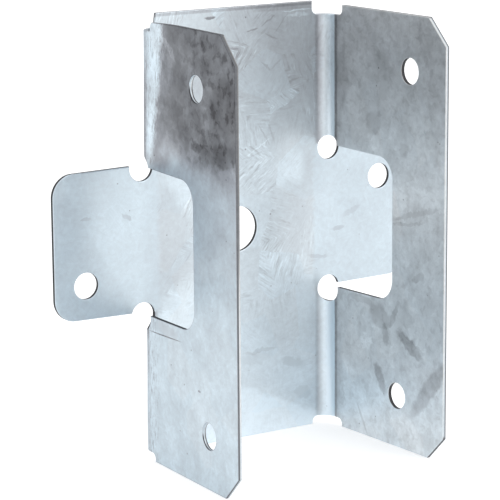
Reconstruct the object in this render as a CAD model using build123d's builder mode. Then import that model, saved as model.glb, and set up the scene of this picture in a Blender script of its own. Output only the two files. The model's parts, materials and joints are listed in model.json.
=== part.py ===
from build123d import *
import os
from math import sin, cos, radians, degrees, acos, tan

os.makedirs("parts", exist_ok=True)

# The connector is one blank of galvanised sheet, pierced, slit and folded.
# X runs across the web, Y from the channel's mouth to its back, Z up.
# The web's back face lies on Y = 0 and the centre hole's axis on Z = 0.

# sheet and folds
sheet = 0.7                 # sheet thickness
inside_width = 38.1         # clear width between the flanges at the bends, for a nominal 2 in board
bend_radius = 2.6           # inside radius of both bends
flange_open = 2.4           # how far each flange springs open past square, degrees
neutral_factor = 0.42       # place of the unstretched layer in the sheet

# outline of the blank, measured up and down from the line of the pierced holes
height = 76.2               # full height of the flanges
outline_rise = 0.2          # the outline's middle stands this far above the hole line
web_rise = 0.55             # the web's top edge stands this far above the flanges' top edges
flange_length = 30.3        # flat part of a flange, from the end of the bend
corner_height = 33.7        # the flanges' front edges run this far above and below the hole line

# tabs cut out of the flanges, left in the plane of the web
tab_half_height = 12.87     # half the tab's height at its root
tab_rise = 0.46             # the tab's middle stands this far above the hole line
tab_taper = 0.9             # slope of the tab's two long edges, degrees
tab_reach = 19.86           # tab length from the start of the bend
window_reach = 16.2         # window length from the end of the bend
tab_corner = 3.9            # corner radius of the tabs and windows

# pierced holes
centre_hole_radius = 4.15
nail_hole_radius = 2.42
tab_hole_x = 30.27
tab_hole_z = 6.32
far_hole = 20.8             # flange hole far from the bend, from the end of the bend
near_hole = 17.68           # flange hole near the bend
flange_hole_z = 28.68

# relief holes on the bend lines, at the ends of the slits
relief_radius = 2.5
relief_from_bend = 2.8      # centre, measured along the sheet from the start of the bend
relief_z = 12.87

# notches at the ends of the bends
notch_in_web = 0.6          # reach into the flat web
notch_in_flange = 1.9       # reach into the flat flange
notch_z = 36.5              # height of the notch floor above and below the hole line
notch_corner = 1.0
notch_cutter = 4            # size of the cutter, which runs out past the sheet's end

# sizes that follow
top = height / 2 + outline_rise
bottom = -height / 2 + outline_rise
web_top = top + web_rise
bend_angle = 90 - flange_open
theta = radians(bend_angle)
bend_x = inside_width / 2 - bend_radius
bend_y = -sheet - bend_radius
outer_radius = bend_radius + sheet
middle_radius = bend_radius + sheet / 2
neutral_radius = bend_radius + neutral_factor * sheet
bend_length = neutral_radius * theta
slit_top = tab_half_height + tab_rise
slit_bottom = -tab_half_height + tab_rise
slope = tan(radians(tab_taper))
top_corner_cut = top - corner_height
bottom_corner_cut = -corner_height - bottom


def tongue(reach):
    # outline shared by the tabs and the windows, root on the local Y axis
    with BuildSketch() as shape:
        with BuildLine():
            Polyline(
                (0, slit_top),
                (reach, slit_top - slope * reach),
                (reach, slit_bottom + slope * reach),
                (0, slit_bottom),
                close=True,
            )
        make_face()
        fillet(shape.vertices().group_by(Axis.X)[-1], radius=tab_corner)
    return shape.sketch


# the right-hand flange's plane: local X away from the bend, local Y up, outer face on the plane
right_plane = Plane(
    origin=(bend_x + outer_radius * sin(theta), bend_y + outer_radius * cos(theta), 0),
    x_dir=(cos(theta), -sin(theta), 0),
    z_dir=(-sin(theta), -cos(theta), 0),
)

# right bend and flange, without the pierced flange holes
with BuildPart() as right_flange:
    # bend, stopped at the notch floors and at the slits
    for low, high in ((-notch_z, slit_bottom), (slit_top, notch_z)):
        with BuildSketch(Plane.XY.offset(low)):
            with BuildLine():
                start_out = (bend_x, 0)
                end_out = (bend_x + outer_radius * sin(theta), bend_y + outer_radius * cos(theta))
                end_in = (bend_x + bend_radius * sin(theta), bend_y + bend_radius * cos(theta))
                start_in = (bend_x, -sheet)
                half = theta / 2
                mid_out = (bend_x + outer_radius * sin(half), bend_y + outer_radius * cos(half))
                mid_in = (bend_x + bend_radius * sin(half), bend_y + bend_radius * cos(half))
                ThreePointArc(start_out, mid_out, end_out)
                Line(end_out, end_in)
                ThreePointArc(end_in, mid_in, start_in)
                Line(start_in, start_out)
            make_face()
        extrude(amount=high - low)
    # flat flange with its two cut corners
    with BuildSketch(right_plane):
        with BuildLine():
            Polyline(
                (0, bottom),
                (flange_length - bottom_corner_cut, bottom),
                (flange_length, bottom + bottom_corner_cut),
                (flange_length, top - top_corner_cut),
                (flange_length - top_corner_cut, top),
                (0, top),
                close=True,
            )
        make_face()
    extrude(amount=sheet)
    # window left by the tab
    with BuildSketch(right_plane):
        add(tongue(window_reach))
    extrude(amount=sheet, mode=Mode.SUBTRACT)
    # the flange's share of the end notches
    for sign in (-1, 1):
        with BuildSketch(right_plane) as notch:
            with Locations((0, sign * (notch_z + notch_cutter / 2))):
                Rectangle(2 * notch_in_flange, notch_cutter)
            fillet(notch.vertices(), radius=notch_corner)
        extrude(amount=sheet, mode=Mode.SUBTRACT)
    # relief holes where they fall on the flat flange
    for sign in (-1, 1):
        with BuildSketch(right_plane):
            with Locations((relief_from_bend - bend_length, sign * relief_z)):
                Circle(relief_radius)
            with Locations((-relief_radius, sign * relief_z)):
                Rectangle(2 * relief_radius, 3 * relief_radius, mode=Mode.SUBTRACT)
        extrude(amount=sheet, mode=Mode.SUBTRACT)

# relief hole wrapped round the bend, cut nearly square to the sheet from four directions
# each cut keeps to its own wedge of the bend, and neighbouring cuts overlap
aims = (0, theta / 3, theta * 2 / 3, theta)
limits = (0, theta / 6, theta / 2, theta * 5 / 6, theta)
wedge_overlap = 0.01
outline_overlap = 0.09
wedge_reach = 2 * outer_radius
with BuildPart() as wrapped_relief:
    for step, aim in enumerate(aims):
        start = limits[step]
        end = limits[step + 1]
        first = neutral_radius * (start - outline_overlap)
        if step == 0:
            first = relief_from_bend - relief_radius
        last = neutral_radius * (end + outline_overlap)
        a0 = acos((relief_from_bend - first) / relief_radius)
        a1 = acos((relief_from_bend - last) / relief_radius)
        upper = []
        lower = []
        for i in range(11):
            a = a0 + (a1 - a0) * i / 10
            along = relief_from_bend - relief_radius * cos(a)
            if along < 0:
                side_step = along
            else:
                side_step = middle_radius * sin(along / neutral_radius - aim)
            upper.append((side_step, relief_radius * sin(a)))
            lower.append((side_step, -relief_radius * sin(a)))
        aim_plane = Plane(
            origin=(bend_x, bend_y, relief_z),
            x_dir=(cos(aim), -sin(aim), 0),
            z_dir=(-sin(aim), -cos(aim), 0),
        )
        with BuildPart(mode=Mode.PRIVATE) as piece:
            with BuildSketch(aim_plane):
                with BuildLine():
                    Spline(*upper)
                    Line(upper[-1], lower[-1])
                    Spline(*reversed(lower))
                    if step > 0:
                        Line(lower[0], upper[0])
                make_face()
            extrude(amount=-outer_radius - 1)
            with BuildSketch(Plane.XY.offset(relief_z - 2 * relief_radius)):
                with BuildLine():
                    low = start - wedge_overlap
                    high = end + wedge_overlap
                    Polyline(
                        (bend_x, bend_y),
                        (bend_x + wedge_reach * sin(low), bend_y + wedge_reach * cos(low)),
                        (bend_x + wedge_reach * sin(high), bend_y + wedge_reach * cos(high)),
                        close=True,
                    )
                make_face()
            extrude(amount=4 * relief_radius, mode=Mode.INTERSECT)
        add(piece.part)

with BuildPart() as right_side:
    add(right_flange.part)
    add(wrapped_relief.part, mode=Mode.SUBTRACT)
    add(mirror(wrapped_relief.part, about=Plane.XY), mode=Mode.SUBTRACT)

# web with the two tabs in its plane
web_plane = Plane(origin=(0, 0, 0), x_dir=(1, 0, 0), z_dir=(0, -1, 0))
with BuildPart() as connector_body:
    with BuildSketch(web_plane):
        with Locations((0, (web_top + bottom) / 2)):
            Rectangle(2 * bend_x, web_top - bottom)
        with Locations((bend_x, 0)):
            add(tongue(tab_reach))
        with Locations((-bend_x, 0)):
            add(mirror(tongue(tab_reach), about=Plane.YZ))
    extrude(amount=sheet)
    # the web's share of the end notches
    notch_middle = bend_x - notch_in_web + notch_cutter / 2
    for side in (-1, 1):
        for sign in (-1, 1):
            with BuildSketch(web_plane) as web_notch:
                with Locations((side * notch_middle, sign * (notch_z + notch_cutter / 2))):
                    Rectangle(notch_cutter, notch_cutter)
                fillet(web_notch.vertices(), radius=notch_corner)
            extrude(amount=sheet, mode=Mode.SUBTRACT)
    # relief holes where they fall on the web and the tabs
    with BuildSketch(web_plane):
        with GridLocations(2 * (bend_x + relief_from_bend), 2 * relief_z, 2, 2):
            Circle(relief_radius)
    extrude(amount=sheet, mode=Mode.SUBTRACT)
    # both bends with their flanges
    add(right_side.part)
    add(mirror(right_side.part, about=Plane.YZ))
    # centre hole and the nail holes of the tabs
    with BuildSketch(web_plane):
        Circle(centre_hole_radius)
        with Locations((tab_hole_x, tab_hole_z), (-tab_hole_x, -tab_hole_z)):
            Circle(nail_hole_radius)
    extrude(amount=sheet, mode=Mode.SUBTRACT)
    # nail holes of the flanges, half a turn apart about the centre hole
    left_plane = Plane(
        origin=(-right_plane.origin.X, right_plane.origin.Y, 0),
        x_dir=(-cos(theta), -sin(theta), 0),
        z_dir=(-sin(theta), cos(theta), 0),
    )
    with BuildSketch(right_plane):
        with Locations((far_hole, flange_hole_z), (near_hole, -flange_hole_z)):
            Circle(nail_hole_radius)
    extrude(amount=sheet, mode=Mode.SUBTRACT)
    with BuildSketch(left_plane):
        with Locations((near_hole, flange_hole_z), (far_hole, -flange_hole_z)):
            Circle(nail_hole_radius)
    extrude(amount=-sheet, mode=Mode.SUBTRACT)

connector_body.part.label = "connector_body"
export_step(connector_body.part, "parts/connector_body.step")
box = connector_body.part.bounding_box()
print("solids", len(connector_body.part.solids()), "volume", round(connector_body.part.volume, 2))
print("box", box.min, box.max)
print("bend length", round(bend_length, 3), "bend angle", round(bend_angle, 2), degrees(theta))
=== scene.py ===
import json
from math import acos, atan2, ceil, cos, hypot, pi, radians, sin, sqrt, tan

import bmesh
import bpy
import numpy as np
from bpy.props import FloatProperty, FloatVectorProperty, PointerProperty
from mathutils import Matrix, Vector, geometry


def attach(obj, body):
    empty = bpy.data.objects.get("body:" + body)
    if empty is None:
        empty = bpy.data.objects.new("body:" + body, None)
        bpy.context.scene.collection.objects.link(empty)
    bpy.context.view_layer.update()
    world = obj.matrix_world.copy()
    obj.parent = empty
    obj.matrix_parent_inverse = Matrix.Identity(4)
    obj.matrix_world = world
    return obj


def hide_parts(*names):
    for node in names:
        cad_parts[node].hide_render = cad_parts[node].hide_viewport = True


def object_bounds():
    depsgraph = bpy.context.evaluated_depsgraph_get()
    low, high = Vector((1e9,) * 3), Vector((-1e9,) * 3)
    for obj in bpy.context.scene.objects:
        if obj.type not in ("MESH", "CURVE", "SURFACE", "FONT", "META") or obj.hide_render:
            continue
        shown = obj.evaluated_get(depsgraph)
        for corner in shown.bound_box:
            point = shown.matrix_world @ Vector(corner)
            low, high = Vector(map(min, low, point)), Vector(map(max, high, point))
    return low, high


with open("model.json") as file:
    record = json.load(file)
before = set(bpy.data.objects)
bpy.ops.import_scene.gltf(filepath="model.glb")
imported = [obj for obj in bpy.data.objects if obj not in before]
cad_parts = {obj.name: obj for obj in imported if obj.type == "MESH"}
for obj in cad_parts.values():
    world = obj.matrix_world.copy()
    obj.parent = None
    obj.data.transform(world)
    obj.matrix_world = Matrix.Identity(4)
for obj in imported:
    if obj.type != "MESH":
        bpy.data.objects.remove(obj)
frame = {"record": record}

bl_info = {
    "name": "Ridge Tie Connector",
    "version": (1, 0, 0),
    "blender": (4, 5, 0),
    "location": "3D View > Sidebar > Connector",
    "description": "Folds the connector's galvanised sheet, gives it its finish and sets its stage",
    "category": "Add Mesh",
}

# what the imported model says, in metres
NODE = "connector_body"
MM = 0.001
CAD_LOW, CAD_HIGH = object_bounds()
MOUNTS = {mount["name"]: mount for mount in frame["record"]["mounts"]}
SHEET = MOUNTS["centre_hole"]["dims"]["length_mm"] * MM
CENTRE_HOLE = MOUNTS["centre_hole"]["dims"]["r_mm"] * MM
NAIL_HOLE = MOUNTS["tab_holes"]["dims"]["hole_r_mm"] * MM
HOLE_CIRCLE = MOUNTS["tab_holes"]["dims"]["pcd_mm"] * MM
FAR_HOLE = MOUNTS["right_upper_nail_hole"]
NEAR_HOLE = MOUNTS["right_lower_nail_hole"]
BEND_ANGLE = atan2(FAR_HOLE["axis"][0], FAR_HOLE["axis"][1])


def number(name, description, default, **more):
    return FloatProperty(name=name, description=description, default=default, **more)


def length(name, description, default):
    return number(name, description, default, unit="LENGTH", precision=5)


def angle(name, description, default):
    return number(name, description, default, subtype="ANGLE")


class BlankSizes(bpy.types.PropertyGroup):
    """Sizes of the flat blank and of its folds"""

    sheet: length("Sheet", "Thickness of the sheet", SHEET)
    inside_width: length("Inside width", "Clear width between the flanges at the bends", 0.0381)
    bend_radius: length("Bend radius", "Inside radius of both bends", 0.0026)
    bend_angle: angle("Bend angle", "How far each flange is folded", BEND_ANGLE)
    neutral: number("Neutral layer", "Place of the unstretched layer in the sheet", 0.42, subtype="FACTOR")
    web_rise: length("Web rise", "How far the web's top stands above the flanges", 0.00055)
    top_cut: length("Top corner cut", "Size of the cut on the flanges' upper corners", 0.0046)
    bottom_cut: length("Bottom corner cut", "Size of the cut on the flanges' lower corners", 0.0042)
    slit_middle: length("Slit middle", "Height of the line midway between the slits", 0.00046)
    slit_half: length("Slit half height", "Half the distance between the slits at the bend", 0.01287)
    slit_slope: angle("Slit slope", "How far each slit leans in", radians(0.9))
    slit_gap: length("Slit gap", "Width of the slits in the flat blank", 0.00002)
    window_reach: length("Window reach", "Length of the window from the end of the bend", 0.0162)
    tab_corner: length("Tab corner", "Corner radius of the tabs and the windows", 0.0039)
    tab_hole_height: length("Tab hole height", "Height of the right tab's hole", 0.00632)
    hole_draw: length("Hole draw", "How far the zinc and the rolled lip narrow each pierced hole", 0.00012)
    relief_radius: length("Relief radius", "Radius of the relief holes", 0.00226)
    relief_from_bend: length("Relief place", "Middle of a relief hole from the start of the bend", 0.0028)
    relief_height: length("Relief height", "Height of the relief holes", 0.01287)
    relief_sink: length("Relief sink", "How far the upper relief holes lie nearer the middle", 0.00015)
    notch_in_web: length("Notch in web", "Reach of the end notches into the web", 0.0006)
    notch_in_flange: length("Notch in flange", "Reach of the end notches into the flange", 0.0019)
    notch_height: length("Notch height", "Height of the notch floors", 0.0365)
    notch_corner: length("Notch corner", "Corner radius of the notches", 0.001)
    torn_web: length("Torn web", "Lean of the left upper notch's side in the web", 0.0003)
    torn_flange: length("Torn flange", "Corner lost from the left flange beside its upper notch", 0.0006)
    torn_rise: length("Torn rise", "How far the torn notch's floor stands above the others", 0.0002)
    left_sag: length("Left sag", "How far the left flange's upper edge sags beside the bend", 0.0004)
    left_draw: length("Left draw", "How far the left bend is drawn in at its upper end", 0.00037)


class MeshSizes(bpy.types.PropertyGroup):
    """Fineness of the mesh and form of its sheared edges"""

    step: length("Step", "Spacing of points along the cut edges", 0.0004)
    crease: angle("Crease", "Edges that turn more than this are shaded sharp", radians(40))
    turn: angle("Turn", "Turn between points on an arc", radians(9))
    grid: length("Grid", "Spacing of points on the flat faces", 0.0009)
    bend_grid: length("Bend grid", "Spacing of points on the bends", 0.00042)
    roll: length("Roll", "Radius of the rolled edge on the punch side", 0.00011)
    burr: length("Burr", "Radius of the edge on the die side", 0.00003)
    band: length("Band", "Width of the flat margin beside every edge", 0.00025)
    shear_share: number("Shear share", "Share of the wall that is sheared clean", 0.42, subtype="FACTOR")
    fracture: length("Fracture", "How far the torn part of the wall lies back", 0.000015)


# the flat blank: u along the sheet from the web's middle, v up


class Blank:
    """Lines and sizes of the blank that follow from the settings"""

    def __init__(self, sizes, mesh):
        self.s = sizes
        self.m = mesh
        s = sizes
        self.bend_start = s.inside_width / 2 - s.bend_radius
        self.neutral_radius = s.bend_radius + s.neutral * s.sheet
        self.bend_length = self.neutral_radius * s.bend_angle
        self.bend_end = self.bend_start + self.bend_length
        reach = -CAD_LOW.y - s.sheet - s.bend_radius * (1 - cos(s.bend_angle))
        self.flange_length = reach / sin(s.bend_angle)
        self.end = self.bend_end + self.flange_length
        self.web_top = CAD_HIGH.z
        self.top = CAD_HIGH.z - s.web_rise
        self.bottom = CAD_LOW.z
        self.tab_reach = CAD_HIGH.x - self.bend_start
        self.slope = tan(s.slit_slope)
        self.window_end = self.bend_length + s.window_reach

    def slit(self, side, along, gap=0.0):
        """Height of a slit at a distance from the start of the bend"""
        s = self.s
        return s.slit_middle + side * (s.slit_half - self.slope * along + gap)

    def hole_along(self, mount):
        """Distance of a flange hole from the end of the bend"""
        s = self.s
        aside, back = sin(s.bend_angle), cos(s.bend_angle)
        outer = s.bend_radius + s.sheet
        middle = outer - s.sheet / 2
        x, y, _ = mount["pos_m"]
        return (x - self.bend_start - middle * aside) * back - (y + outer - middle * back) * aside

    def straight(self, start, end):
        """Points from start up to end, which is left out"""
        start = np.array(start)
        end = np.array(end)
        count = max(1, ceil(hypot(*(end - start)) / self.m.step))
        return [start + (end - start) * i / count for i in range(count)]

    def arc(self, middle, radius, start, turn):
        """Points on an arc up to its end, which is left out"""
        count = max(3, ceil(abs(turn) / self.m.turn), ceil(abs(turn) * radius / self.m.step))
        angles = [start + turn * i / count for i in range(count)]
        return [np.array((middle[0] + radius * cos(a), middle[1] + radius * sin(a))) for a in angles]

    def rounded(self, corners, closed=True):
        """Points along straight lines joined at rounded or sharp corners (u, v, radius)"""
        points = []
        places = [np.array(corner[:2]) for corner in corners]
        count = len(corners)
        ends = []
        for i, place in enumerate(places):
            radius = corners[i][2]
            if radius == 0:
                ends.append((place, place, None))
                continue
            before = places[i - 1] - place
            after = places[(i + 1) % count] - place
            before = before / hypot(*before)
            after = after / hypot(*after)
            turn = pi - acos(max(-1.0, min(1.0, float(before @ after))))
            start = place + before * radius * tan(turn / 2)
            bisector = before + after
            middle = place + bisector / hypot(*bisector) * radius / cos(turn / 2)
            angle = atan2(start[1] - middle[1], start[0] - middle[0])
            stop = place + after * radius * tan(turn / 2)
            stop_angle = atan2(stop[1] - middle[1], stop[0] - middle[0])
            sweep = (stop_angle - angle + pi) % (2 * pi) - pi
            ends.append((start, stop, (middle, radius, angle, sweep)))
        last = count if closed else count - 1
        for i in range(last):
            start, stop, arc = ends[i]
            if arc:
                points += self.arc(*arc)
            points += self.straight(stop, ends[(i + 1) % count][0])
        return points

    def outline(self):
        """Outer edge of the blank, anticlockwise"""
        s = self.s
        web_side = self.bend_start - s.notch_in_web
        flange_side = self.bend_end + s.notch_in_flange
        right = [
            (web_side, self.bottom, 0),
            (web_side, -s.notch_height, s.notch_corner),
            (flange_side, -s.notch_height, s.notch_corner),
            (flange_side, self.bottom, 0),
            (self.end - s.bottom_cut, self.bottom, 0),
            (self.end, self.bottom + s.bottom_cut, 0),
            (self.end, self.top - s.top_cut, 0),
            (self.end - s.top_cut, self.top, 0),
            (flange_side, self.top, 0),
            (flange_side, s.notch_height, s.notch_corner),
            (web_side, s.notch_height, s.notch_corner),
            (web_side, self.web_top, 0),
        ]
        left = [(-u, v, radius) for u, v, radius in reversed(right)]
        # the left upper notch is torn: its side leans, and the flange has lost its corner
        torn = [
            (-web_side, self.web_top, 0),
            (-web_side - s.torn_web, s.notch_height + s.torn_rise, s.notch_corner / 2),
            (-flange_side, s.notch_height + s.torn_rise, s.notch_corner / 2),
            (-flange_side, self.top - s.torn_flange, 0),
            (-flange_side - s.torn_flange, self.top, 0),
        ]
        return self.rounded(right + torn + left[4:])

    def hole(self, u, v, radius):
        """A round hole, clockwise"""
        return self.arc((u, v), radius, 0, -2 * pi)

    def relief(self, side):
        """Middle of a relief hole, and the two angles where the lips of its slit meet it"""
        s = self.s
        height = s.relief_height - s.relief_sink if side > 0 else -s.relief_height
        middle = (self.bend_start + s.relief_from_bend, height)
        lips = []
        for gap in (-s.slit_gap / 2, s.slit_gap / 2):
            along = s.relief_from_bend + s.relief_radius
            # the slit leans a little, so a few rounds find where it meets the hole
            for _ in range(5):
                rise = self.slit(side, along, gap) - middle[1]
                along = s.relief_from_bend + sqrt(s.relief_radius ** 2 - rise ** 2)
            lips.append(atan2(rise, along - s.relief_from_bend))
        return middle, min(lips), max(lips)

    def far_corners(self, reach, side, gap):
        """The two rounded corners of a tab or a window, away from the bend"""
        u = self.bend_start + reach
        return [(u, self.slit(part, reach, gap), self.s.tab_corner) for part in (side, -side)]

    def tab_cut(self):
        """The C-shaped cut between the right tab and its window, clockwise"""
        radius = self.s.relief_radius
        half = self.s.slit_gap / 2
        upper, low, high = self.relief(1)
        lower, under, over = self.relief(-1)

        def lip(middle, angle):
            return middle[0] + radius * cos(angle), middle[1] + radius * sin(angle), 0

        window = [lip(upper, high), *self.far_corners(self.window_end, 1, half), lip(lower, under)]
        tab = [lip(lower, over), *self.far_corners(self.tab_reach, -1, -half), lip(upper, low)]
        points = self.arc(upper, radius, low, high - low - 2 * pi)
        points += self.rounded(window, closed=False)
        points += self.arc(lower, radius, under, over - under - 2 * pi)
        return points + self.rounded(tab, closed=False)

    def in_tab(self, points):
        """Whether points of the blank lie in a tab: the border runs along the slits, midway at their end"""
        border = (self.tab_reach + self.window_end) / 2
        upper, lower = ((self.bend_start, self.slit(side, 0), 0) for side in (1, -1))
        outline = self.rounded([upper, *self.far_corners(border, 1, 0), lower])
        return inside_blank(np.column_stack([np.abs(points[:, 0]), points[:, 1]]), [np.array(outline)])

    def loops(self):
        """Every cut edge of the blank, with the material on its left"""
        s = self.s
        tab_hole_u = sqrt((HOLE_CIRCLE / 2) ** 2 - s.tab_hole_height ** 2)
        far_u = self.bend_end + self.hole_along(FAR_HOLE)
        near_u = self.bend_end + self.hole_along(NEAR_HOLE)
        far_v = FAR_HOLE["pos_m"][2]
        near_v = NEAR_HOLE["pos_m"][2]
        nail = NAIL_HOLE - s.hole_draw
        cut = self.tab_cut()
        loops = [self.outline(), self.hole(0, 0, CENTRE_HOLE - s.hole_draw), cut]
        loops.append([np.array((-p[0], p[1])) for p in reversed(cut)])
        for side in (1, -1):
            loops.append(self.hole(side * tab_hole_u, side * s.tab_hole_height, nail))
            loops.append(self.hole(side * far_u, side * far_v, nail))
            loops.append(self.hole(side * near_u, side * near_v, nail))
        return [np.array(loop) for loop in loops]


def into_material(loop):
    """Steps from a closed line into the material on its left, true at corners too"""
    ahead = np.roll(loop, -1, axis=0) - loop
    ahead /= np.linalg.norm(ahead, axis=1)[:, None]
    left = np.stack([-ahead[:, 1], ahead[:, 0]], axis=1)
    before = np.roll(left, 1, axis=0)
    return (left + before) / (1 + np.sum(left * before, axis=1))[:, None]


# points that are tested together, which keeps the arrays small
AT_ONCE = 2000


def inside_blank(points, loops):
    """Even-odd test of points against all the loops"""
    crossings = np.zeros(len(points), int)
    for loop in loops:
        a = loop
        b = np.roll(loop, -1, axis=0)
        for start in range(0, len(points), AT_ONCE):
            u = points[start:start + AT_ONCE, 0][:, None]
            v = points[start:start + AT_ONCE, 1][:, None]
            spans = (a[:, 1] > v) != (b[:, 1] > v)
            rise = np.where(b[:, 1] == a[:, 1], 1.0, b[:, 1] - a[:, 1])
            at = a[:, 0] + (v - a[:, 1]) / rise * (b[:, 0] - a[:, 0])
            crossings[start:start + AT_ONCE] += np.sum(spans & (u < at), axis=1)
    return crossings % 2 == 1


def edge_distance(points, loops):
    """Distance from points to the nearest point on a cut edge"""
    edge = np.concatenate(loops)
    nearest = np.zeros(len(points))
    for start in range(0, len(points), AT_ONCE):
        part = points[start:start + AT_ONCE]
        gaps = np.hypot(part[:, 0][:, None] - edge[:, 0], part[:, 1][:, None] - edge[:, 1])
        nearest[start:start + AT_ONCE] = gaps.min(axis=1)
    return nearest


def triangle_grid(low_u, high_u, low_v, high_v, spacing):
    """Points of a triangular grid"""
    rise = spacing * sqrt(3) / 2
    rows = int((high_v - low_v) / rise) + 1
    columns = int((high_u - low_u) / spacing) + 1
    column, row = np.meshgrid(np.arange(columns), np.arange(rows))
    u = low_u + (column + (row % 2) / 2) * spacing
    v = low_v + row * rise
    return np.stack([u.ravel(), v.ravel()], axis=1)


def inner_points(blank, loops):
    """Points on the faces of the blank, closer together on the bends"""
    mesh = blank.m
    coarse = triangle_grid(-blank.end, blank.end, blank.bottom, blank.web_top, mesh.grid)
    bent = (np.abs(coarse[:, 0]) > blank.bend_start - mesh.grid / 2)
    bent &= (np.abs(coarse[:, 0]) < blank.bend_end + mesh.grid / 2)
    parts = [coarse[~bent]]
    for side in (-1, 1):
        ends = sorted((side * blank.bend_start, side * blank.bend_end))
        parts.append(triangle_grid(*ends, blank.bottom, blank.web_top, mesh.bend_grid))
    points = np.concatenate(parts)
    points = points[inside_blank(points, loops)]
    return points[edge_distance(points, loops) > mesh.band + mesh.bend_grid * 0.7]


def edge_profile(sheet, mesh):
    """Steps over a cut edge from the front face to the back: inset, depth"""
    curve = [(1 - sin(a), 1 - cos(a)) for a in map(radians, (0, 30, 60, 90))]
    shear = sheet * mesh.shear_share
    return [
        (mesh.band, 0.0),
        *((mesh.roll * x, mesh.roll * y) for x, y in curve),
        (0.0, shear),
        (mesh.fracture, shear + 2 * mesh.fracture),
        *((mesh.fracture + mesh.burr * x, sheet - mesh.burr * y) for x, y in reversed(curve)),
        (mesh.band, sheet),
    ]


def moved_in(loops, insets, inset):
    """Every cut edge moved some way into the material"""
    return [loop + step * inset for loop, step in zip(loops, insets)]


def triangulated(lines, inner):
    """Triangles of the flat face inside its edge lines, through all the inner points"""
    flat = np.concatenate([*lines, inner])
    edges = []
    first = 0
    for line in lines:
        count = len(line)
        edges += [(first + i, first + (i + 1) % count) for i in range(count)]
        first += count
    found = geometry.delaunay_2d_cdt([Vector(p) for p in flat], edges, [], 0, 1e-9, True)
    source = [ids[0] if ids else -1 for ids in found[3]]
    if min(source) < 0 or len(source) != len(flat):
        raise RuntimeError(f"the blank's edges cross: {len(source)} points from {len(flat)}")
    triangles = np.array([[source[i] for i in triangle] for triangle in found[2]])
    return triangles[inside_blank(flat[triangles].mean(axis=1), lines)].tolist()


def sheet_faces(lines, inner, levels):
    """Faces of the closed sheet: both sides in triangles, and the cut walls from level to level in quads"""
    rings = sum(len(line) for line in lines)
    front_inner = rings * levels
    back_inner = front_inner + len(inner)
    back_ring = rings * (levels - 1)
    faces = []
    for triangle in triangulated(lines, inner):
        faces.append([i if i < rings else front_inner + i - rings for i in triangle])
        faces.append([back_ring + i if i < rings else back_inner + i - rings for i in reversed(triangle)])
    for level in range(levels - 1):
        first = level * rings
        for line in lines:
            count = len(line)
            for i in range(count):
                a = first + i
                b = first + (i + 1) % count
                faces.append([a, b, b + rings, a + rings])
            first += count
    return faces


def closed_mesh(positions, faces, crease):
    """A mesh with its faces outwards, shaded smooth up to its creases"""
    data = bpy.data.meshes.new("flat_sheet")
    data.from_pydata(positions.tolist(), [], faces)
    shape = bmesh.new()
    shape.from_mesh(data)
    bmesh.ops.recalc_face_normals(shape, faces=shape.faces)
    for edge in shape.edges:
        edge.smooth = edge.calc_face_angle(0) < crease
    for face in shape.faces:
        face.smooth = True
    shape.to_mesh(data)
    shape.free()
    return data


def keep(data, name, values):
    """A number or a vector for each point of a mesh"""
    kind, field = ("FLOAT", "value") if values.ndim == 1 else ("FLOAT_VECTOR", "vector")
    layer = data.attributes.new(name, kind, "POINT")
    layer.data.foreach_set(field, values.astype(np.float32).ravel())


def flat_sheet(blank):
    """The blank as a closed flat mesh, with its own coordinates as attributes"""
    sheet = blank.s.sheet
    mesh = blank.m
    loops = blank.loops()
    insets = [into_material(loop) for loop in loops]
    inner = inner_points(blank, loops)
    rings = sum(len(loop) for loop in loops)
    profile = edge_profile(sheet, mesh)
    spots = []
    wear = []
    for inset, depth in profile:
        line = np.concatenate(moved_in(loops, insets, inset))
        spots.append(np.column_stack([line, np.full(rings, depth)]))
        wear.append(np.full(rings, max(0.0, 1 - inset / mesh.band)))
    for depth in (0.0, sheet):
        spots.append(np.column_stack([inner, np.full(len(inner), depth)]))
        wear.append(np.zeros(len(inner)))
    spots = np.concatenate(spots)
    u, v, depth = spots.T
    faces = sheet_faces(moved_in(loops, insets, mesh.band), inner, len(profile))
    data = closed_mesh(np.column_stack([u, depth - sheet, v]), faces, mesh.crease)
    keep(data, "blank", np.column_stack([u / MM, v / MM, depth / sheet]))
    keep(data, "tab", blank.in_tab(spots))
    keep(data, "cut_edge", np.concatenate(wear))
    pierced = np.zeros(len(spots))
    pierced[:rings * len(profile)] = np.tile(np.arange(rings) >= len(loops[0]), len(profile))
    keep(data, "pierced", pierced)
    return data


# node trees written as Python expressions


def two_way(operation, swap=False):
    """A method that adds a Math node of a wire and another wire or number"""
    return lambda wire, other: wire.math(operation, *((other, wire) if swap else (wire, other)))


class Wire:
    """An output socket that can be added, multiplied and compared"""

    def __init__(self, graph, socket):
        self.graph = graph
        self.socket = socket

    def math(self, operation, *values):
        return self.graph.add("ShaderNodeMath", {"operation": operation}, dict(enumerate(values or (self,))))

    __add__ = __radd__ = two_way("ADD")
    __mul__ = __rmul__ = two_way("MULTIPLY")
    __sub__ = two_way("SUBTRACT")
    __rsub__ = two_way("SUBTRACT", swap=True)
    __truediv__ = two_way("DIVIDE")
    __rtruediv__ = two_way("DIVIDE", swap=True)
    __lt__ = two_way("LESS_THAN")
    __gt__ = two_way("GREATER_THAN")
    least = two_way("MINIMUM")
    most = two_way("MAXIMUM")

    def __abs__(self):
        return self.math("ABSOLUTE")

    def step(self, low, high):
        """0 up to low, 1 past high and a smooth way between; from 1 to 0 where high is below low"""
        if high < low:
            return 1 - self.step(high, low)
        values = {"Value": self, "From Min": low, "From Max": high}
        return self.graph.add("ShaderNodeMapRange", {"interpolation_type": "SMOOTHSTEP"}, values, "Result")

    def between(self, a, b):
        """A number between two, with this as the share of the second"""
        return self.graph.add("ShaderNodeMix", {"data_type": "FLOAT"}, {0: self, 2: a, 3: b})

    def out(self, name):
        """Another output of the same node"""
        return Wire(self.graph, self.socket.node.outputs[name])


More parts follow.
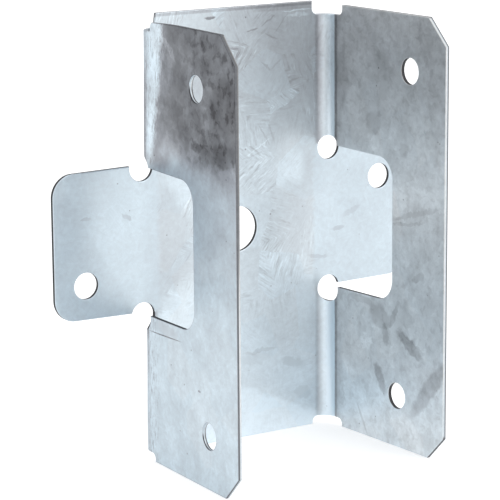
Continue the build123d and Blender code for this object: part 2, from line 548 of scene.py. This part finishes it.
class Graph:
    """A node tree that is filled by expressions"""

    def __init__(self, tree):
        self.tree = tree

    def add(self, kind, settings=None, values=None, output=0):
        """A node of any kind: its settings, then the values or links of its sockets"""
        node = self.tree.nodes.new(kind)
        for name, setting in (settings or {}).items():
            if name == "stops":
                ramp = node.color_ramp
                while len(ramp.elements) < len(setting):
                    ramp.elements.new(0.5)
                for element, (place, colour) in zip(ramp.elements, setting):
                    element.position = place
                    element.color = (*colour, 1)
            else:
                setattr(node, name, setting)
        for name, value in (values or {}).items():
            if isinstance(value, Wire):
                self.tree.links.new(value.socket, node.inputs[name])
            else:
                node.inputs[name].default_value = value
        return Wire(self, node.outputs[output]) if node.outputs else None

    def attribute(self, name, output="Vector"):
        return self.add("ShaderNodeAttribute", {"attribute_name": name}, output=output)

    def parts(self, vector):
        split = self.add("ShaderNodeSeparateXYZ", values={0: vector})
        return split.out("X"), split.out("Y"), split.out("Z")

    def join(self, x, y, z):
        return self.add("ShaderNodeCombineXYZ", values={"X": x, "Y": y, "Z": z})

    def noise(self, vector, scale, detail, rough):
        values = {"Vector": vector, "Scale": scale, "Detail": detail, "Roughness": rough}
        return self.add("ShaderNodeTexNoise", None, values, "Fac")

    def vector(self, operation, *values, output="Vector"):
        """Vector maths"""
        return self.add("ShaderNodeVectorMath", {"operation": operation}, dict(enumerate(values)), output)


def cleared(owner):
    """The emptied node tree of a material or a world"""
    owner.use_nodes = True
    owner.node_tree.nodes.clear()
    return owner.node_tree


def in_scene(name, data):
    """A new object in the scene"""
    made = bpy.data.objects.new(name, data)
    bpy.context.scene.collection.objects.link(made)
    return made


# folding the blank

FOLD_SIZES = ("Sheet", "Bend start", "Bend radius", "Neutral radius", "Bend angle", "Left sag", "Left draw")

# which way the left bend is drawn in: towards the middle and to the front
DRAW_ASIDE = 0.84
DRAW_FORWARD = 0.54


def fold_sockets(tree):
    """The group's inputs and its output"""
    face = tree.interface
    face.new_socket("Geometry", in_out="INPUT", socket_type="NodeSocketGeometry")
    for name in FOLD_SIZES:
        face.new_socket(name, in_out="INPUT", socket_type="NodeSocketFloat")
    face.new_socket("Finish", in_out="INPUT", socket_type="NodeSocketMaterial")
    face.new_socket("Geometry", in_out="OUTPUT", socket_type="NodeSocketGeometry")


def draw_share(along, v):
    """How much the left bend is drawn in: most on its own curve and at its top"""
    crown = along.step(0, 0.0026) * along.step(0.009, 0.0032)
    return crown * (0.33 * v.step(-0.032, -0.018) + 0.67 * v.step(0.015, 0.037))


def sag_share(along, v):
    """How much the left flange's upper edge sags: most beside the bend"""
    return along.step(0.0165, 0.003) * v.step(0.030, 0.0383) * along.step(-0.0008, 0.0006)


def fold_tree():
    """Node group that folds the flat sheet: flanges forward along both bends, tabs left in the web's plane"""
    tree = bpy.data.node_groups.new("Fold blank", "GeometryNodeTree")
    fold_sockets(tree)
    graph = Graph(tree)
    source = tree.nodes.new("NodeGroupInput")
    take = {name: Wire(graph, source.outputs[name]) for name in (*FOLD_SIZES, "Geometry", "Finish")}
    blank = graph.add("GeometryNodeInputNamedAttribute", {"data_type": "FLOAT_VECTOR"}, {"Name": "blank"})
    tab = graph.add("GeometryNodeInputNamedAttribute", {"data_type": "FLOAT"}, {"Name": "tab"})
    u, v, through = graph.parts(blank)
    u = u * MM
    v = v * MM
    sheet, start, full = take["Sheet"], take["Bend start"], take["Bend angle"]
    along = abs(u) - start
    depth = through * sheet
    radius = take["Bend radius"] + depth
    turn = (along / take["Neutral radius"]).most(0).least(full)
    beyond = (along - take["Neutral radius"] * full).most(0)
    x = start + along.least(0) + radius * turn.math("SINE") + beyond * full.math("COSINE")
    y = radius * turn.math("COSINE") - beyond * full.math("SINE") - take["Bend radius"] - sheet
    left = (u < 0) * (1 - tab)
    draw = left * draw_share(along, v) * take["Left draw"]
    x = tab.between(x, abs(u)) - draw * DRAW_ASIDE
    y = tab.between(y, depth - sheet) - draw * DRAW_FORWARD
    z = v - left * sag_share(along, v) * take["Left sag"]
    place = {"Geometry": take["Geometry"], "Position": graph.join(u.math("SIGN") * x, y, z)}
    placed = graph.add("GeometryNodeSetPosition", None, place)
    whole = graph.add("GeometryNodeRealizeInstances", None, {"Geometry": placed})
    dressed = graph.add("GeometryNodeSetMaterial", None, {"Geometry": whole, "Material": take["Finish"]})
    sink = tree.nodes.new("NodeGroupOutput")
    tree.links.new(dressed.socket, sink.inputs["Geometry"])
    return tree


def bake(piece):
    """Turn the piece and its modifiers into a plain mesh"""
    bpy.context.view_layer.update()
    shown = piece.evaluated_get(bpy.context.evaluated_depsgraph_get())
    data = bpy.data.meshes.new_from_object(shown)
    data.name = piece.name
    piece.modifiers.clear()
    old = piece.data
    piece.data = data
    bpy.data.meshes.remove(old)


# the finish: tones run from 0 for black to 1 for white, lengths in millimetres on the blank


def stops(name, description, low, high):
    """A pair of tones, at the sheet's bottom and at its top"""
    return FloatVectorProperty(name=name, description=description, size=2, default=(low, high))


class FinishSettings(bpy.types.PropertyGroup):
    """Tones and scales of the zinc"""

    web_tone: stops("Web tone", "Tone of the web at its bottom and its top", 0.875, 0.757)
    inner_tone: stops("Inner tone", "Tone of the flanges' inner faces at bottom and top", 0.862, 0.715)
    outer_tone: stops("Outer tone", "Tone of the flanges' outer faces at bottom and top", 0.82, 0.42)
    tab_tone: number("Tab tone", "Tone of the tabs", 0.805)
    spangle: number("Spangle", "Width of a zinc crystal in millimetres", 8.5)
    crystal_contrast: number("Crystal contrast", "Tone step between crystals", 0.05)
    feather_contrast: number("Feather contrast", "Tone of the strokes", 0.19)
    roughness: number("Roughness", "Roughness of the cleanest zinc", 0.36)


# zinc from dark weathered to bright: tone, colour
ZINC = (
    (0.0, (0.012, 0.011, 0.012)),
    (0.30, (0.072, 0.072, 0.078)),
    (0.49, (0.197, 0.207, 0.223)),
    (0.65, (0.360, 0.379, 0.415)),
    (0.82, (0.560, 0.640, 0.695)),
    (0.94, (0.745, 0.860, 0.940)),
)

# smears, bruises and scratches of each face, with a few marks of painted shade and painted highlight: name,
# u, v, half length, half width, turn in degrees, tone
INNER_MARKS = (
    ("smear below the window", 33.6, -15.4, 3.4, 2.2, -14, -0.09),
    ("smear's left arm", 28.6, -13.2, 3.8, 0.8, -4, -0.08),
    ("smear's right arm", 37.6, -14.6, 2.6, 0.7, 62, -0.08),
    ("smear's hook", 35.3, -18.2, 2.2, 0.9, -80, -0.09),
    ("leaf", 42, -19, 4.4, 1.2, -26, -0.15),
    ("leaf's edge", 42.3, -18, 4.4, 0.35, -24, -0.07),
    ("leaf at the lower hole", 34, -26.4, 3, 1.15, -62, -0.15),
    ("band to the lower corner", 47.4, -25.8, 8.2, 1.7, 50, -0.12),
    ("crease at the lower edge", 28.8, -35, 3.4, 0.3, -60, -0.08),
    # painted shade where the flange meets the bend
    ("painted shade beside the bend", 22.8, 25.5, 2, 6, 0, -0.05),
    ("pale disc", 29.7, -20.4, 1.9, 1.9, 0, 0.05),
    ("small bruise", 44.2, -6.6, 1.9, 0.8, 20, -0.08),
    ("patch over the window", 31.8, 18.4, 2.3, 2.4, 0, -0.06),
    ("blue shade", 34.6, 27.5, 2.2, 4.6, 8, -0.035),
    ("streak beside the window", 43.5, 4.4, 7.6, 0.5, 17, -0.07),
    ("second streak", 41.5, 2.4, 5.2, 0.4, 10, -0.06),
    ("bruise at the tab's hole", 40.2, 14.8, 1.2, 1.7, 20, -0.06),
)
OUTER_MARKS = (
    ("dark corner", -47.5, 27, 4.5, 5, 0, -0.08),
    ("dark stain", -47.5, 19, 4, 2.2, 0, -0.09),
    ("stain under the hole", -38.8, 19.2, 2.3, 0.8, -8, -0.12),
    ("light smear", -29, 34.8, 4.2, 0.7, 42, 0.09),
    ("crease", -26.7, -14.75, 6, 0.13, -2, -0.3),
    ("shade over the crease", -26.3, -13.6, 5.2, 1, 0, -0.05),
    ("nick", -38.5, -21.7, 0.55, 0.22, 0, -0.22),
)
FRONT_MARKS = (
    ("dark lens at the top", -5.2, 37.3, 1.1, 0.28, 0, -0.3),
    # painted highlight: a bright streak under the web's top edge
    ("painted highlight under the top", 12.6, 37.45, 3.2, 0.12, 2, 0.14),
    ("pale smudge under the top", 12.8, 36.6, 2.4, 0.45, 2, 0.08),
    ("dash", 3.35, 34.6, 1.35, 0.16, 10, -0.13),
    ("bent dash", 7.2, 33.3, 1.6, 0.14, -25, -0.08),
    ("stroke to the top", 6.7, 36.1, 1.9, 0.16, 33, -0.09),
    ("steep stroke", 9.3, 35.3, 2.2, 0.14, 50, -0.06),
    ("chevron's left arm", 6.2, 28.2, 1.4, 0.2, -38, -0.07),
    ("chevron's right arm", 8.3, 28.4, 1.4, 0.2, 40, -0.06),
    ("fan's first stroke", 5.6, 16.2, 2.4, 0.16, -58, -0.06),
    ("fan's second stroke", 7.2, 16.4, 2.2, 0.16, -70, -0.06),
    ("fan's low stroke", 3.2, 12.6, 2.6, 0.14, 14, -0.05),
    ("fan's pale stroke", 4.4, 14, 3, 0.14, 28, 0.07),
    ("arc on the web", 4.5, -22.6, 3.6, 0.35, 4, -0.06),
    ("shade under the arc", 3.6, -23.8, 3.6, 1.2, 4, -0.035),
    ("second arc", 11.5, -25.6, 2.8, 0.9, -20, -0.05),
    ("smudge over the pale foot", 13.6, -31.6, 1.9, 1.3, -15, -0.05),
    ("bruise on the tab", 21.5, -2.2, 1.5, 0.45, 6, -0.07),
    ("second bruise on the tab", 24.3, 0.6, 2.1, 0.5, 18, -0.05),
    ("third bruise on the tab", 17, -6.9, 2.3, 0.35, -8, -0.06),
    ("streak on the left tab", -22.2, 4.7, 1.2, 0.4, -25, -0.09),
    ("second streak on the left tab", -30.2, 5.1, 1, 0.35, 8, -0.07),
)

# marks up to this half width are lines, wider ones are frayed patches; a mark reaches through the sheet
THIN_MARK = 0.3
ANY_DEPTH = 1e6

# tones of the cut walls
SHEARED_WALL = 0.82
TORN_WALL = 0.44
BEND_WALL = 0.70
ROOT_WALL = 0.72
# painted shade: the walls of holes, slits and windows are dark, as if little light reached into them
HOLE_WALL_SHADE = 0.18
WINDOW_WALL_SHADE = 0.22

# the same all over the zinc; the depth is in metres
METALLIC = 0.9
GLOSS_TINT = (0.62, 0.63, 0.65, 1.0)
DENT_DEPTH = 0.00004

# in radians, for the crystals' axes
FULL_TURN = 6.283


def crystal_pattern(graph, plane, settings):
    """Tone of the spangle: flat crystals, each with a herringbone of fine strokes about its own axis"""
    jitter = graph.noise(plane, 0.4, 2.0, 0.6).out("Color")
    bent = graph.vector("MULTIPLY_ADD", jitter, (0.8, 0.8, 0.0), plane)
    cell = graph.add(
        "ShaderNodeTexVoronoi", {"feature": "F1"}, {"Vector": bent, "Scale": 1 / settings.spangle}, "Position"
    )
    chance, vigour, lean = graph.parts(cell.out("Color"))
    arm = graph.vector("SUBTRACT", bent, cell)
    arm = graph.add(
        "ShaderNodeVectorRotate", {"rotation_type": "Z_AXIS"}, {"Vector": arm, "Angle": lean * FULL_TURN}
    )
    spine, across, _ = graph.parts(arm)
    across = abs(across)
    with_stroke = spine * 0.8 + across * 0.6
    over_stroke = across * 0.8 - spine * 0.6
    strokes = graph.noise(graph.join(over_stroke * 2.3, with_stroke * 0.24, chance * 40), 1.0, 3.0, 0.7)
    patchy = graph.noise(plane, 0.3, 2.0, 0.6).step(0.38, 0.60)
    feather = strokes.step(0.53, 0.64) * 0.45 - strokes.step(0.47, 0.36) * 0.55
    return (chance - 0.5) * 2, feather * vigour.step(-0.1, 0.6) * (0.4 + 0.6 * patchy)


class Zinc(Graph):
    """Masks and noises in the blank's own coordinates, and the layers of tone painted with them"""

    def __init__(self, tree, blank, settings):
        super().__init__(tree)
        self.settings = settings
        self.start = blank.bend_start / MM
        self.fold = blank.bend_length / MM
        self.u, self.v, self.through = self.parts(self.attribute("blank"))
        self.tab = self.attribute("tab", "Fac")
        self.along = abs(self.u) - self.start
        self.outer = self.through.step(0.4, 0.6)
        self.inner = 1 - self.outer
        self.folded = 1 - self.tab
        self.flange = self.along.step(self.fold - 0.15, self.fold + 0.05) * self.folded
        self.bend = self.along.step(-0.3, 0.5) * (1 - self.flange) * self.folded
        self.plane = self.join(self.u, self.v, self.outer * 60)
        wobble = self.noise(self.plane, 0.6, 2.0, 0.7).out("Color")
        wobble = self.vector("SUBTRACT", wobble, (0.5, 0.5, 0.5))
        self.torn = self.vector("MULTIPLY_ADD", wobble, (1.7, 1.7, 0.0), self.plane)
        self.crooked = self.vector("MULTIPLY_ADD", wobble, (0.8, 0.8, 0.0), self.plane)
        self.cloud = self.noise(self.plane, 0.09, 3.0, 0.55) - 0.5
        self.height = self.v + self.cloud * 16
        self.grain = self.noise(self.torn, 1.1, 4.0, 0.65) - 0.5
        self.broken = 0.9 + self.grain * 2.4
        near = abs(self.v - 0.5) + (self.start - abs(self.u)) * 0.9 + self.cloud * 24
        self.near_tab = near.step(17, 9) * abs(self.u).step(4, 14) * 0.6
        self.chance, self.feather = crystal_pattern(self, self.plane, settings)

    def web_tone(self):
        """Pale at the foot, darker towards the top with painted shade, and duller beside the tabs"""
        u, v, height = self.u, self.v, self.height
        low, high = self.settings.web_tone
        # painted shade: the web darkens towards its top
        tone = low + (high - low) * height.step(6, 30)
        tone = tone - 0.02 * abs(height - 2).step(15, 5)
        tone = tone + 0.06 * (v + u * 0.35 + self.cloud * 9).step(-28.5, -30)
        tone = self.near_tab.between(tone, self.settings.tab_tone - 0.09)
        tone = tone + u.step(2, -9) * v.step(26, 33) * 0.07
        return tone - v.step(38.1, 38.35) * 0.11 - u.step(2, 6) * v.step(37.5, 37.8) * 0.06

    def tab_tone(self):
        """Even, and a little duller on the left tab towards its end and past a slanting line"""
        u = self.u
        left = u.step(-21, -35) * 0.015 - u.step(-18, -20) * 0.02
        left = left + (u * 0.87 + self.v * 0.5).step(-24, -24.8) * 0.018
        return self.settings.tab_tone - left

    def inner_tone(self):
        """The flanges' inner faces"""
        height = self.height
        low, high = self.settings.inner_tone
        middle = (low + high) / 2 + 0.005
        tone = low + (middle - low) * height.step(-36, -21)
        tone = tone - 0.04 * self.along.step(16, 26) * self.v.step(-31, -35)
        return tone + (high - middle) * height.step(8, 32) + 0.03 * abs(height - 10).step(7, 0)

    def outer_tone(self):
        """The flanges' outer faces, dark above their windows: partly the zinc's own dark tone, partly a
        painted reflection
        """
        height = self.height
        low, high = self.settings.outer_tone
        middle = (low + high) / 2 + 0.13
        # the dark upper part is partly a painted reflection and partly the zinc's own tone
        tone = low + (middle - low) * height.step(-13, 10)
        tone = tone + (high - middle) * height.step(10, 21)
        return tone + self.along.step(23, 8) * self.v.step(8, 16) * 0.13

    def faces(self):
        """Slow change of tone up each face"""
        flat = self.tab.between(self.web_tone(), self.tab_tone())
        return self.flange.between(flat, self.outer.between(self.inner_tone(), self.outer_tone()))

    def painted_bend_light(self, tone):
        """The inside of the bends: a painted highlight across the bend with painted shade at its start, a
        dark line where the flange starts that is part die mark and part painted shade, and painted shade on
        the flange beside it
        """
        along, fold, inner = self.along, self.fold, self.inner
        hollow = self.bend * inner
        # painted shade at the start of the bend
        tone = tone - hollow * along.step(2.3, 0.6) * 0.12
        # painted highlight across the bend
        bright = along.step(1, 1.9) * 0.03 + along.step(2, 3.2) * 0.14
        tone = tone + hollow * bright * along.step(4.4, 4.15)
        # dark line where the flange starts: part die mark, part painted shade
        crook = along.step(fold - 0.5, fold - 0.15) * along.step(fold + 0.75, fold + 0.25) * self.folded
        # painted shade on the flange beside the bend
        shade = along.step(fold + 3.4, fold) * self.flange * inner
        return tone - crook * inner * 0.16 - shade * 0.05

    def galled(self, tone):
        """The outside of the bends: streaks of bright metal, painted shade along the bend's own curve, and a
        seam
        """
        along, v, outside = self.along, self.v, self.folded * self.outer
        gall = self.noise(self.vector("MULTIPLY", self.plane, (2.2, 0.5, 1.0)), 1.0, 4.0, 0.75)
        reach = along - v.step(14, 36) * 3.8 - (gall - 0.5) * 7
        edge = along.step(4.9, 3.9) * along.step(1, 2.6)
        area = reach.step(8, 5.8) * along.step(0.6, 2) * outside * (1 - edge * 0.8)
        bright = (0.24 + 0.08 * along.step(4.6, 6.4)) * v.step(11, 20)
        tone = tone + area * (0.02 + bright - gall.step(0.50, 0.64) * 0.16)
        # painted shade along the outer curve of the bend
        tone = tone - edge * outside * (0.12 + 0.08 * v.step(10, 16) * v.step(31, 24))
        seam = abs(along - 4.15).step(0.22, 0.06) * gall.step(0.42, 0.60)
        return tone - seam * outside * 0.16

    def spangled(self, tone):
        """Crystals and strokes, lively high on the web and faint on tabs, bends and flanges"""
        lively = self.flange.between(self.tab.between(1.0, 0.22), 0.10) * (0.15 + self.height.step(-24, 4))
        lively = lively * (1 - self.bend * 0.7) * (1 - self.near_tab * 0.8)
        tone = tone + self.chance * lively * self.settings.crystal_contrast * 0.5
        return tone + self.feather * lively * self.settings.feather_contrast

    def weathered(self, tone):
        """Clouds, grain, mottling and blotches"""
        v, outer, flange = self.v, self.outer, self.flange
        mottle = self.noise(self.vector("MULTIPLY", self.torn, (1.0, 0.85, 1.0)), 0.26, 3.0, 0.55) - 0.5
        patches = flange.between(0.05, 0.21 + 0.16 * outer - 0.20 * outer * v.step(19, 12))
        tone = tone + self.cloud * 0.10
        tone = tone + self.grain * flange.between(0.14, 0.18) + mottle * patches
        blotch = self.noise(self.torn, 0.62, 2.0, 0.6).step(0.46, 0.70)
        dingy = v.step(13, 19) * self.along.step(12, 24) * outer * flange
        return tone + (0.04 - blotch * 0.12) * dingy + (0.3 - blotch) * 0.05 * flange * self.inner

    def marks(self, tone, marks, face, thin):
        """Smears, bruises and scratches of one face, and a few marks of painted shade and painted highlight;
        thin says where its narrow ones are drawn
        """
        for _, u, v, long, wide, turn, change in marks:
            place = {
                "Vector": self.torn if wide > THIN_MARK else thin, "Location": (u, v, 0),
                "Rotation": (0, 0, radians(turn)), "Scale": (long, wide, ANY_DEPTH),
            }
            local = self.add("ShaderNodeMapping", {"vector_type": "TEXTURE"}, place)
            soft = self.vector("LENGTH", local, output="Value").step(1.12, 0.68)
            tone = tone + soft * self.broken * face * change
        return tone

    def marked(self, tone):
        """All marks: narrow ones run straight on the flanges and crooked on the web and the tabs"""
        tone = self.marks(tone, INNER_MARKS, self.flange * self.inner, self.plane)
        tone = self.marks(tone, OUTER_MARKS, self.flange * self.outer, self.plane)
        return self.marks(tone, FRONT_MARKS, self.inner * (1 - self.flange), self.crooked)

    def pitted(self, tone):
        """A few small pits"""
        cells = {"Vector": self.plane, "Scale": 0.42}
        pit = self.add("ShaderNodeTexVoronoi", {"feature": "F1"}, cells, "Distance")
        chance, size, _ = self.parts(pit.out("Color"))
        return tone - (pit - size * 0.03).step(0.065, 0.025) * (chance > 0.68) * 0.20

    def outline_wall(self, left, sheared):
        """The cut walls of the outline: darker along the top and high on the left, and low on the web and the
        right with painted shade where they face the floor's shadow
        """
        v = self.v
        # painted shade on the bottom walls, which face down to the floor's shadow
        corner = (1 - left) * v.step(-33, -33.8) * 0.40
        clean = SHEARED_WALL - left * 0.26 * v.step(-8, 14) - corner - 0.24 * v.step(38, 38.2)
        return sheared.between(TORN_WALL, clean)

    def hole_wall(self, left, sheared):
        """The walls of holes and slits: dark with painted shade, but pale in the upper half of the left
        flange's nail holes, which get painted shade in part too
        """
        v, through = self.v, self.through
        # painted shade in part of the left flange's nail holes
        under = v.step(29.3, 27.9) * v.step(20, 21) + v.step(-28.4, -29.6)
        pale = SHEARED_WALL - 0.46 * through.step(0.30, 0.16)
        pale = pale - under * (0.30 * through.step(0.5, 0.3) + 0.62 * through.step(0.62, 0.76))
        nail_hole = abs(v).step(19, 20).between(WINDOW_WALL_SHADE, pale)
        return (left * self.folded).between(HOLE_WALL_SHADE + 0.08 * sheared, nail_hole)

    def cut(self, tone):
        """Rims beside the cuts, with a painted highlight along the front's rolled arris, and the cut walls
        with a sheared band in front and a torn one behind, darkened with painted shade in the holes and slits
        """
        u, v, through = self.u, self.v, self.through
        # the left flange's upper root, beside the torn notch, has no dark rim
        root = u.step(-16, -16.5) * self.folded * v.step(30, 32)
        root = root * self.along.step(self.fold + 4.5, self.fold + 2)
        rim = self.attribute("cut_edge", "Fac").step(0.30, 0.75) * (1 - root)
        # the front rim is a pale painted highlight along the rolled arris; the back rim is darker
        tone = tone + rim * self.outer.between(0.03, -0.10)
        ragged = self.noise(self.join(u * 1.5, v * 1.5, through * 0.5), 1.0, 3.0, 0.6) - 0.5
        left = u.step(-20.5, -21.5)
        torn_from = 0.68 - left * (0.14 + 0.2 * v.step(-8, 14))
        sheared = (through + ragged * 0.12 - torn_from).step(0, -0.08)
        wall_tone = self.bend.between(self.outline_wall(left, sheared), BEND_WALL)
        wall_tone = root.between(wall_tone, ROOT_WALL)
        wall_tone = self.attribute("pierced", "Fac").between(wall_tone, self.hole_wall(left, sheared))
        wall = through.step(0.05, 0.12) * through.step(0.985, 0.955)
        return wall, wall.between(tone, wall_tone + ragged * 0.15)

    def colour(self, tone):
        """The zinc's colour at a tone, greyer on the flanges' inner faces"""
        ramp = self.add("ShaderNodeValToRGB", {"stops": ZINC}, {"Fac": tone}, "Color")
        dull = self.flange.between(0.12, 0.68 - 0.28 * self.v.step(-22, -30))
        grey = 1 - self.folded * (self.inner * dull + self.chance.step(0.2, -0.4) * 0.10)
        return self.add("ShaderNodeHueSaturation", None, {"Color": ramp, "Saturation": grey})


def zinc_material(blank, settings):
    """Hot-dip galvanised sheet"""
    material = bpy.data.materials.new("galvanised_zinc")
    zinc = Zinc(cleared(material), blank, settings)
    tone = zinc.faces()
    for layer in (zinc.painted_bend_light, zinc.galled, zinc.spangled, zinc.weathered, zinc.marked, zinc.pitted):
        tone = layer(tone)
    wall, tone = zinc.cut(tone)
    dents = zinc.noise(zinc.plane, 0.16, 2.0, 0.5) * 6
    bump = zinc.add("ShaderNodeBump", None, {"Strength": 0.25, "Distance": DENT_DEPTH, "Height": dents})
    roughness = settings.roughness + zinc.chance * 0.05 + zinc.grain * 0.2 + wall * 0.2
    shader = zinc.add("ShaderNodeBsdfPrincipled", None, {
        "Base Color": zinc.colour(tone), "Metallic": METALLIC, "Specular Tint": GLOSS_TINT,
        "Roughness": roughness, "Normal": bump,
    })
    zinc.add("ShaderNodeOutputMaterial", None, {"Surface": shader})
    return material


# the stage: lamps by name, place and diameter, in metres, and the camera's sensor in millimetres

KEY_LAMP = ("key_lamp", (0.35, -0.75, 0.65), 0.7)
FILL_LAMP = ("fill_lamp", (-0.8, -0.1, 0.5), 0.6)
FLOOR_HALF = 3.0
NEAR_CLIP = 0.01
SENSOR = 36
WHITE = (1, 1, 1, 1)


class StageSettings(bpy.types.PropertyGroup):
    """Camera, light and floor"""

    azimuth: angle("Azimuth", "Camera's turn about the object", radians(-32.7109))
    elevation: angle("Elevation", "Camera's height above the horizon", radians(11.9795))
    roll: angle("Roll", "Camera's roll", radians(-0.4353))
    distance: length("Distance", "Camera's distance from the centre hole", 0.42465)
    aside: length("Aside", "Camera's shift to its right", 0.0021888)
    above: length("Above", "Camera's shift upwards", -0.0036807)
    lens: number("Lens", "Focal length on a 36 mm sensor, in millimetres", 175.04)
    world: number("World", "Strength of the surroundings", 0.88)
    key: number("Key", "Power of the large soft lamp, in watts", 3.5)
    fill: number("Fill", "Power of the second soft lamp, in watts", 0.5)
    floor: FloatVectorProperty(
        name="Floor", description="Colour of the floor", subtype="COLOR", default=(0.72, 0.725, 0.73)
    )


def set_camera(settings):
    """The camera, aimed at the front of the centre hole"""
    a, e, r = settings.azimuth, settings.elevation, settings.roll
    back = Vector((sin(a) * cos(e), -cos(a) * cos(e), sin(e)))
    level = Vector((cos(a), sin(a), 0))
    upright = back.cross(level)
    right = level * cos(r) + upright * sin(r)
    up = upright * cos(r) - level * sin(r)
    aim = Vector((0, -SHEET, 0))
    place = aim + back * settings.distance + right * settings.aside + up * settings.above
    data = bpy.data.cameras.new("photo_camera")
    data.lens = settings.lens
    data.sensor_width = SENSOR
    data.clip_start = NEAR_CLIP
    camera = in_scene("photo_camera", data)
    camera.matrix_world = Matrix.Translation(place) @ Matrix((right, up, back)).transposed().to_4x4()
    bpy.context.scene.camera = camera


def soft_lamp(name, place, size, power):
    """A round soft lamp, aimed at the object's middle"""
    data = bpy.data.lights.new(name, "AREA")
    data.shape = "DISK"
    data.size = size
    data.energy = power
    lamp = in_scene(name, data)
    lamp.location = place
    aim = (CAD_LOW + CAD_HIGH) / 2 - Vector(place)
    lamp.rotation_euler = aim.to_track_quat("-Z", "Y").to_euler()


def seen_white(graph):
    """1 for rays that only look at the background: camera, gloss and glass"""
    path = graph.add("ShaderNodeLightPath", output="Is Camera Ray")
    return path.most(path.out("Is Glossy Ray")).most(path.out("Is Transmission Ray"))


def floor_material(colour):
    """A matt floor that glows a little, so that it stays pale"""
    material = bpy.data.materials.new("pale_floor")
    graph = Graph(cleared(material))
    grain = graph.noise(graph.add("ShaderNodeTexCoord", output="Object"), 9.0, 2.0, 0.5)
    tint = graph.add("ShaderNodeMix", {"data_type": "RGBA"}, {0: grain * 0.04, 6: (*colour, 1), 7: WHITE}, 2)
    matt = graph.add("ShaderNodeBsdfPrincipled", None, {
        "Base Color": tint, "Roughness": 0.9, "Emission Color": WHITE, "Emission Strength": 0.48,
    })
    graph.add("ShaderNodeOutputMaterial", None, {"Surface": matt})
    return material


def set_world(strength):
    """Even light from all around, seen as plain white"""
    world = bpy.data.worlds.new("studio")
    graph = Graph(cleared(world))
    light = graph.add("ShaderNodeBackground", None, {"Color": WHITE, "Strength": strength})
    backdrop = graph.add("ShaderNodeBackground", None, {"Color": WHITE, "Strength": 1.0})
    either = graph.add("ShaderNodeMixShader", None, {0: seen_white(graph), 1: light, 2: backdrop})
    graph.add("ShaderNodeOutputWorld", None, {"Surface": either})
    bpy.context.scene.world = world


# operators


class CONNECTOR_OT_sheet(bpy.types.Operator):
    """Cut the blank, fold it and stand it for the CAD body"""

    bl_idname = "connector.fold_sheet"
    bl_label = "Fold Sheet"

    def execute(self, context):
        scene = context.scene
        blank = Blank(scene.connector_blank, scene.connector_mesh)
        sizes = blank.s
        piece = in_scene("connector_sheet", flat_sheet(blank))
        modifier = piece.modifiers.new("Fold blank", "NODES")
        tree = fold_tree()
        modifier.node_group = tree
        values = {
            "Sheet": sizes.sheet,
            "Bend start": blank.bend_start,
            "Bend radius": sizes.bend_radius,
            "Neutral radius": blank.neutral_radius,
            "Bend angle": sizes.bend_angle,
            "Left sag": sizes.left_sag,
            "Left draw": sizes.left_draw,
            "Finish": zinc_material(blank, scene.connector_finish),
        }
        for item in tree.interface.items_tree:
            if item.in_out == "INPUT" and item.name in values:
                modifier[item.identifier] = values[item.name]
        bake(piece)
        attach(piece, "root")
        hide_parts(NODE)
        return {"FINISHED"}


class CONNECTOR_OT_stage(bpy.types.Operator):
    """Set the floor, the soft light and the camera"""

    bl_idname = "connector.set_stage"
    bl_label = "Set Stage"

    def execute(self, context):
        settings = context.scene.connector_stage
        data = bpy.data.meshes.new("floor")
        half, level = FLOOR_HALF, CAD_LOW.z
        corners = [(-half, -half, level), (half, -half, level), (half, half, level), (-half, half, level)]
        data.from_pydata(corners, [], [(0, 1, 2, 3)])
        data.materials.append(floor_material(settings.floor))
        floor = in_scene("floor", data)
        soft_lamp(*KEY_LAMP, settings.key)
        soft_lamp(*FILL_LAMP, settings.fill)
        set_world(settings.world)
        set_camera(settings)
        context.scene.view_settings.view_transform = "Standard"
        return {"FINISHED"}


class CONNECTOR_PT_panel(bpy.types.Panel):
    """Buttons and settings for the connector and its stage"""

    bl_label = "Ridge Tie Connector"
    bl_idname = "CONNECTOR_PT_panel"
    bl_space_type = "VIEW_3D"
    bl_region_type = "UI"
    bl_category = "Connector"

    def draw(self, context):
        column = self.layout.column()
        column.operator(CONNECTOR_OT_sheet.bl_idname)
        column.operator(CONNECTOR_OT_stage.bl_idname)
        for settings in SETTINGS:
            group = getattr(context.scene, settings)
            for name in group.__annotations__:
                column.prop(group, name)


SETTINGS = {
    "connector_blank": BlankSizes,
    "connector_mesh": MeshSizes,
    "connector_finish": FinishSettings,
    "connector_stage": StageSettings,
}
CLASSES = (*SETTINGS.values(), CONNECTOR_OT_sheet, CONNECTOR_OT_stage, CONNECTOR_PT_panel)


def register():
    for cls in CLASSES:
        bpy.utils.register_class(cls)
    for name, group in SETTINGS.items():
        setattr(bpy.types.Scene, name, PointerProperty(type=group))


def unregister():
    for name in SETTINGS:
        delattr(bpy.types.Scene, name)
    for cls in reversed(CLASSES):
        bpy.utils.unregister_class(cls)


def main():
    register()
    bpy.ops.connector.fold_sheet()
    bpy.ops.connector.set_stage()


if __name__ == "__main__":
    main()
